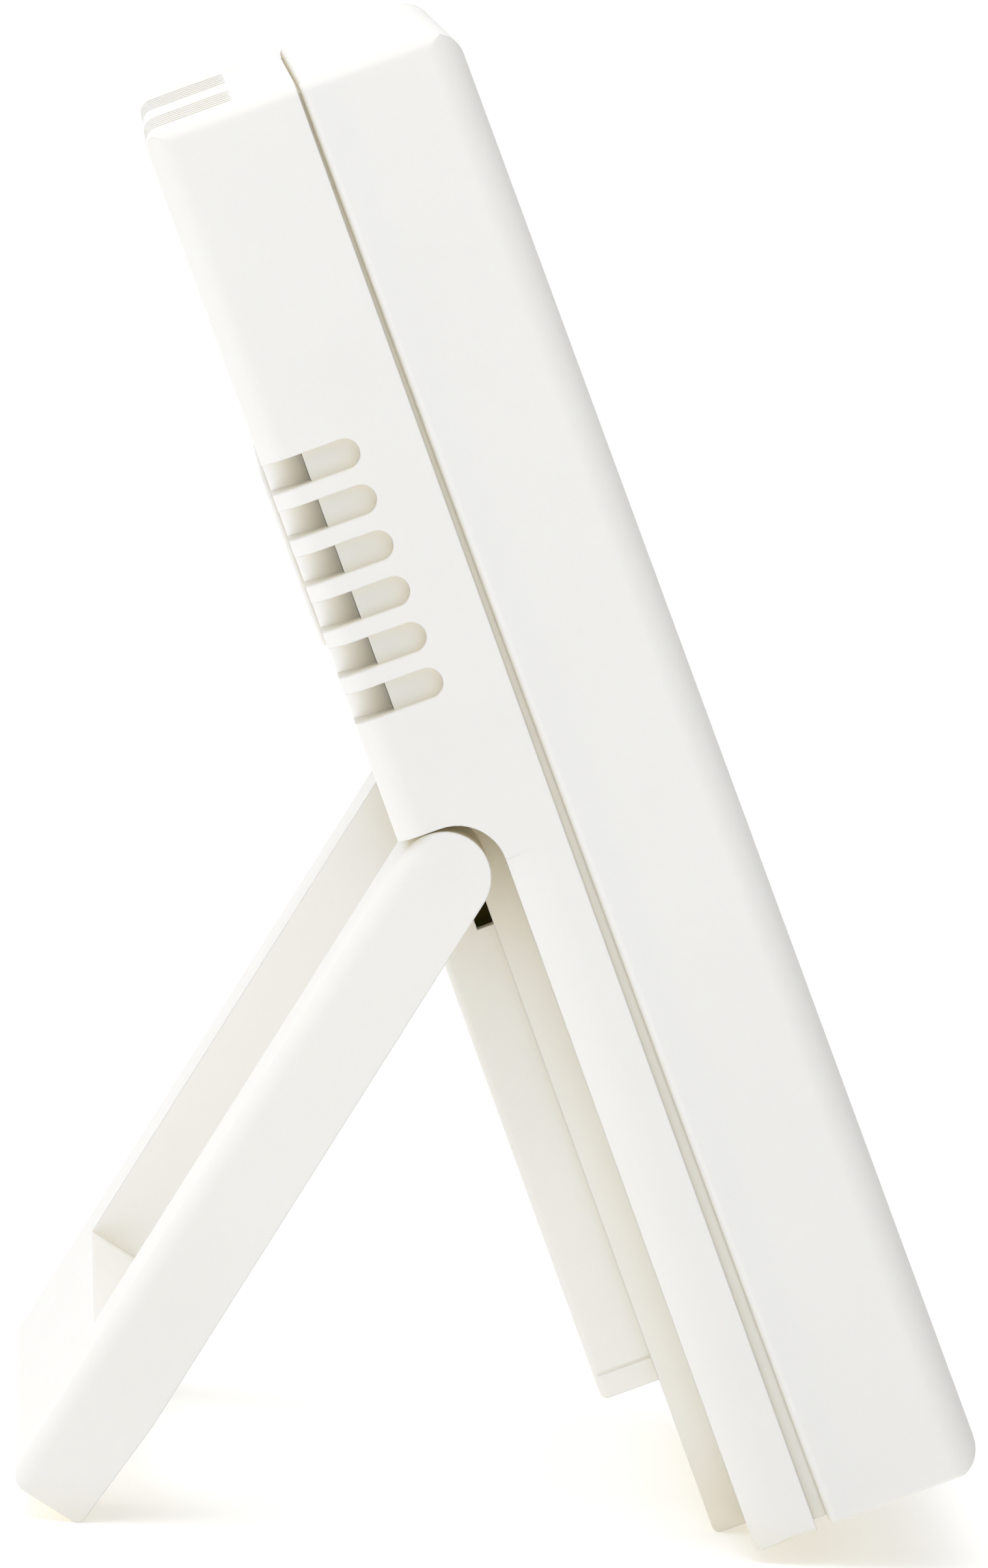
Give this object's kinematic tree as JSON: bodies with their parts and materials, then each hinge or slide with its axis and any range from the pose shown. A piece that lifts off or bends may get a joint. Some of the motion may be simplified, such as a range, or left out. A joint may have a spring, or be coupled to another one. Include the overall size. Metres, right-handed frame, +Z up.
{
  "type": "desk weather station",
  "caption": "Slim white desk weather display that leans back on a fold-out U-shaped rear stand, with side and top vents, rear keys and a battery door.",
  "frame": {"origin": "bottom centre of the standing object's box, on the table surface", "axes": "+Z up, +X across the display (the width), -Y the way the display faces, +Y towards the rear stand"},
  "size_m": [0.09, 0.081, 0.1272],
  "materials": {
    "white_case": "satin moulded ABS, fine texture",
    "white_stand": "satin moulded ABS, fine texture",
    "white_door": "satin moulded ABS, fine texture",
    "key_plastic": "satin moulded ABS",
    "clear_window": "clear polished acrylic",
    "lcd_glass": "polished glass",
    "polariser": "smooth film",
    "light_guide": "clear polished acrylic",
    "led": "moulded, semi-gloss",
    "inner_frame": "satin moulded ABS",
    "connector_rubber": "matt",
    "circuit_board": "solder-masked glass fibre board",
    "screw_steel": "plated",
    "chip_resin": "semi-gloss resin",
    "component_metal": "satin",
    "black_plastic": "matt",
    "copper_winding": "enamelled copper",
    "sensor_cap": "matt",
    "sensor_bead": "epoxy bead",
    "cell_sleeve": "printed sleeve, no lettering",
    "contact_steel": "nickel plated"
  },
  "bodies": {
    "housing": {"back_shell": "white_case", "front_shell": "white_case", "lcd_window": "clear_window", "lcd_glass": "lcd_glass", "lcd_polarisers": "polariser", "light_guide": "light_guide", "backlight_leds": "led", "lcd_frame": "inner_frame", "zebra_strips": "connector_rubber", "main_board": "circuit_board", "board_screws": "screw_steel", "driver_chips": "chip_resin", "quartz_crystal": "component_metal", "board_capacitors": "component_metal", "buzzer": "black_plastic", "receiver_board": "circuit_board", "aerial_coil": "copper_winding", "key_switches": "black_plastic", "sensor_board": "circuit_board", "humidity_sensor": "sensor_cap", "temperature_sensor": "sensor_bead", "battery_cells": "cell_sleeve", "battery_plates": "contact_steel", "battery_springs": "contact_steel", "case_screws": "screw_steel"},
    "stand": {"stand_frame": "white_stand"},
    "door": {"battery_door": "white_door"},
    "key_set_body": {"key_set": "key_plastic"},
    "key_up_body": {"key_up": "key_plastic"},
    "key_down_body": {"key_down": "key_plastic"},
    "key_unit_body": {"key_unit": "key_plastic"},
    "key_memory_body": {"key_memory": "key_plastic"}
  },
  "joints": [
    {"name": "stand_hinge", "type": "hinge", "parent": "housing", "child": "stand", "pos_m": [0, 0.00751, 0.05791], "axis": [1, 0, 0], "range_deg": [-52.1, 0]},
    {"name": "door_release", "type": "slide", "parent": "housing", "child": "door", "axis": [0, 0.9164, -0.4004], "range_m": [0, 0.012]},
    {"name": "key_set_press", "type": "slide", "parent": "housing", "child": "key_set_body", "axis": [0, -0.9164, 0.4004], "range_m": [0, 0.0004], "stiffness_N_per_m": 600, "springref_m": -0.0002},
    {"name": "key_up_press", "type": "slide", "parent": "housing", "child": "key_up_body", "axis": [0, -0.9164, 0.4004], "range_m": [0, 0.0004], "stiffness_N_per_m": 600, "springref_m": -0.0002},
    {"name": "key_down_press", "type": "slide", "parent": "housing", "child": "key_down_body", "axis": [0, -0.9164, 0.4004], "range_m": [0, 0.0004], "stiffness_N_per_m": 600, "springref_m": -0.0002},
    {"name": "key_unit_press", "type": "slide", "parent": "housing", "child": "key_unit_body", "axis": [0, -0.9164, 0.4004], "range_m": [0, 0.0004], "stiffness_N_per_m": 600, "springref_m": -0.0002},
    {"name": "key_memory_press", "type": "slide", "parent": "housing", "child": "key_memory_body", "axis": [0, -0.9164, 0.4004], "range_m": [0, 0.0004], "stiffness_N_per_m": 600, "springref_m": -0.0002}
  ]
}
